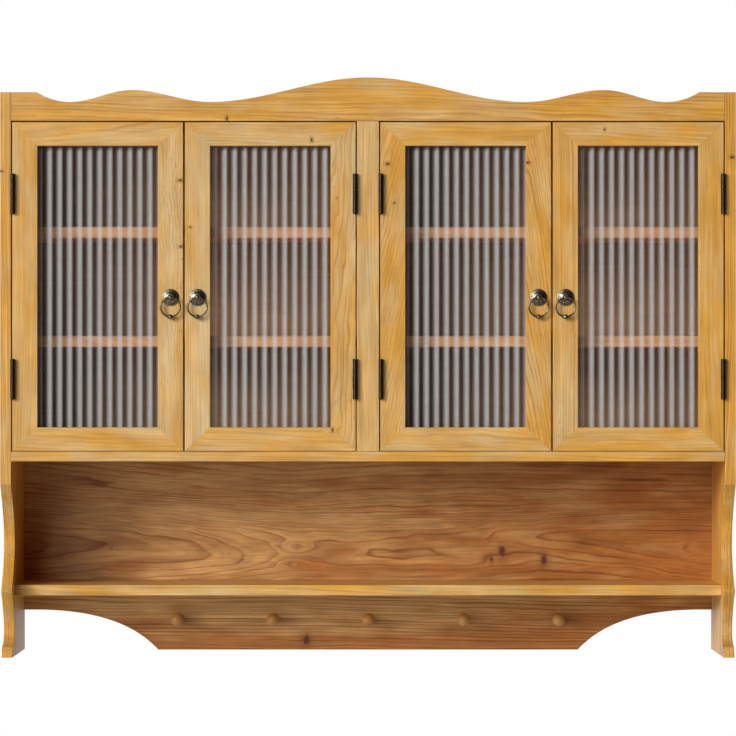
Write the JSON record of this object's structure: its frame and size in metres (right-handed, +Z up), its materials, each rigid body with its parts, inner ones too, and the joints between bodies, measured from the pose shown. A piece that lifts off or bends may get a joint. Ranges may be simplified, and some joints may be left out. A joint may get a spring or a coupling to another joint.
{
  "type": "wall cabinet",
  "caption": "Rustic pine wall cabinet with paired reeded-glass doors on butt hinges, ring pulls, a wavy cornice, an open display shelf and a peg rail.",
  "frame": {"origin": "middle of the hanging rail's back face, on the wall plane", "axes": "+X to the right seen from the front, +Y into the wall, +Z up"},
  "size_m": [1.2, 0.2618, 0.948],
  "materials": {
    "carcass_pine": "honey-stained pine, satin lacquer",
    "door_pine": "honey-stained pine, satin lacquer",
    "back_pine": "knotty pine boards, satin lacquer",
    "reeded_glass": "clear vertically reeded glass",
    "hinge_bronze": "black bronze, satin",
    "pull_bronze": "antique bronze, worn bright on edges",
    "strike_steel": "zinc-plated steel",
    "catch_plastic": "brown moulded plastic"
  },
  "bodies": {
    "cabinet": {"side_panel_left": "carcass_pine", "side_panel_right": "carcass_pine", "cornice_board": "carcass_pine", "top_panel": "carcass_pine", "bottom_panel": "carcass_pine", "centre_partition": "carcass_pine", "centre_stile": "carcass_pine", "upper_back_panel": "back_pine", "middle_back_board": "back_pine", "peg_rail": "back_pine", "display_shelf": "carcass_pine", "inner_shelf_left_lower": "carcass_pine", "inner_shelf_left_upper": "carcass_pine", "inner_shelf_right_lower": "carcass_pine", "inner_shelf_right_upper": "carcass_pine", "hanging_rail": "carcass_pine", "peg_1": "door_pine", "peg_2": "door_pine", "peg_3": "door_pine", "peg_4": "door_pine", "peg_5": "door_pine", "magnetic_catch_left": "catch_plastic", "magnetic_catch_right": "catch_plastic", "door_1_lower_hinge_fixed_leaf": "hinge_bronze", "door_1_upper_hinge_fixed_leaf": "hinge_bronze", "door_2_lower_hinge_fixed_leaf": "hinge_bronze", "door_2_upper_hinge_fixed_leaf": "hinge_bronze", "door_3_lower_hinge_fixed_leaf": "hinge_bronze", "door_3_upper_hinge_fixed_leaf": "hinge_bronze", "door_4_lower_hinge_fixed_leaf": "hinge_bronze", "door_4_upper_hinge_fixed_leaf": "hinge_bronze"},
    "door_1": {"door_1_frame": "door_pine", "door_1_glass": "reeded_glass", "door_1_pull_plate": "pull_bronze", "door_1_strike_plate": "strike_steel", "door_1_lower_hinge_door_leaf": "hinge_bronze", "door_1_upper_hinge_door_leaf": "hinge_bronze"},
    "ring_1": {"door_1_pull_ring": "pull_bronze"},
    "door_2": {"door_2_frame": "door_pine", "door_2_glass": "reeded_glass", "door_2_pull_plate": "pull_bronze", "door_2_strike_plate": "strike_steel", "door_2_lower_hinge_door_leaf": "hinge_bronze", "door_2_upper_hinge_door_leaf": "hinge_bronze"},
    "ring_2": {"door_2_pull_ring": "pull_bronze"},
    "door_3": {"door_3_frame": "door_pine", "door_3_glass": "reeded_glass", "door_3_pull_plate": "pull_bronze", "door_3_strike_plate": "strike_steel", "door_3_lower_hinge_door_leaf": "hinge_bronze", "door_3_upper_hinge_door_leaf": "hinge_bronze"},
    "ring_3": {"door_3_pull_ring": "pull_bronze"},
    "door_4": {"door_4_frame": "door_pine", "door_4_glass": "reeded_glass", "door_4_pull_plate": "pull_bronze", "door_4_strike_plate": "strike_steel", "door_4_lower_hinge_door_leaf": "hinge_bronze", "door_4_upper_hinge_door_leaf": "hinge_bronze"},
    "ring_4": {"door_4_pull_ring": "pull_bronze"}
  },
  "joints": [
    {"name": "door_1_swing", "type": "hinge", "parent": "cabinet", "child": "door_1", "pos_m": [-0.579, -0.2543, -0.3021], "axis": [0, 0, -1], "range_deg": [0, 170]},
    {"name": "ring_1_swing", "type": "hinge", "parent": "door_1", "child": "ring_1", "pos_m": [-0.322, -0.2578, -0.32025], "axis": [-1, 0, 0], "range_deg": [0, 100]},
    {"name": "door_2_swing", "type": "hinge", "parent": "cabinet", "child": "door_2", "pos_m": [-0.021, -0.2543, -0.3021], "axis": [0, 0, 1], "range_deg": [0, 85]},
    {"name": "ring_2_swing", "type": "hinge", "parent": "door_2", "child": "ring_2", "pos_m": [-0.278, -0.2578, -0.32025], "axis": [-1, 0, 0], "range_deg": [0, 100]},
    {"name": "door_3_swing", "type": "hinge", "parent": "cabinet", "child": "door_3", "pos_m": [0.021, -0.2543, -0.3021], "axis": [0, 0, -1], "range_deg": [0, 85]},
    {"name": "ring_3_swing", "type": "hinge", "parent": "door_3", "child": "ring_3", "pos_m": [0.278, -0.2578, -0.32025], "axis": [-1, 0, 0], "range_deg": [0, 100]},
    {"name": "door_4_swing", "type": "hinge", "parent": "cabinet", "child": "door_4", "pos_m": [0.579, -0.2543, -0.3021], "axis": [0, 0, 1], "range_deg": [0, 170]},
    {"name": "ring_4_swing", "type": "hinge", "parent": "door_4", "child": "ring_4", "pos_m": [0.322, -0.2578, -0.32025], "axis": [-1, 0, 0], "range_deg": [0, 100]}
  ]
}
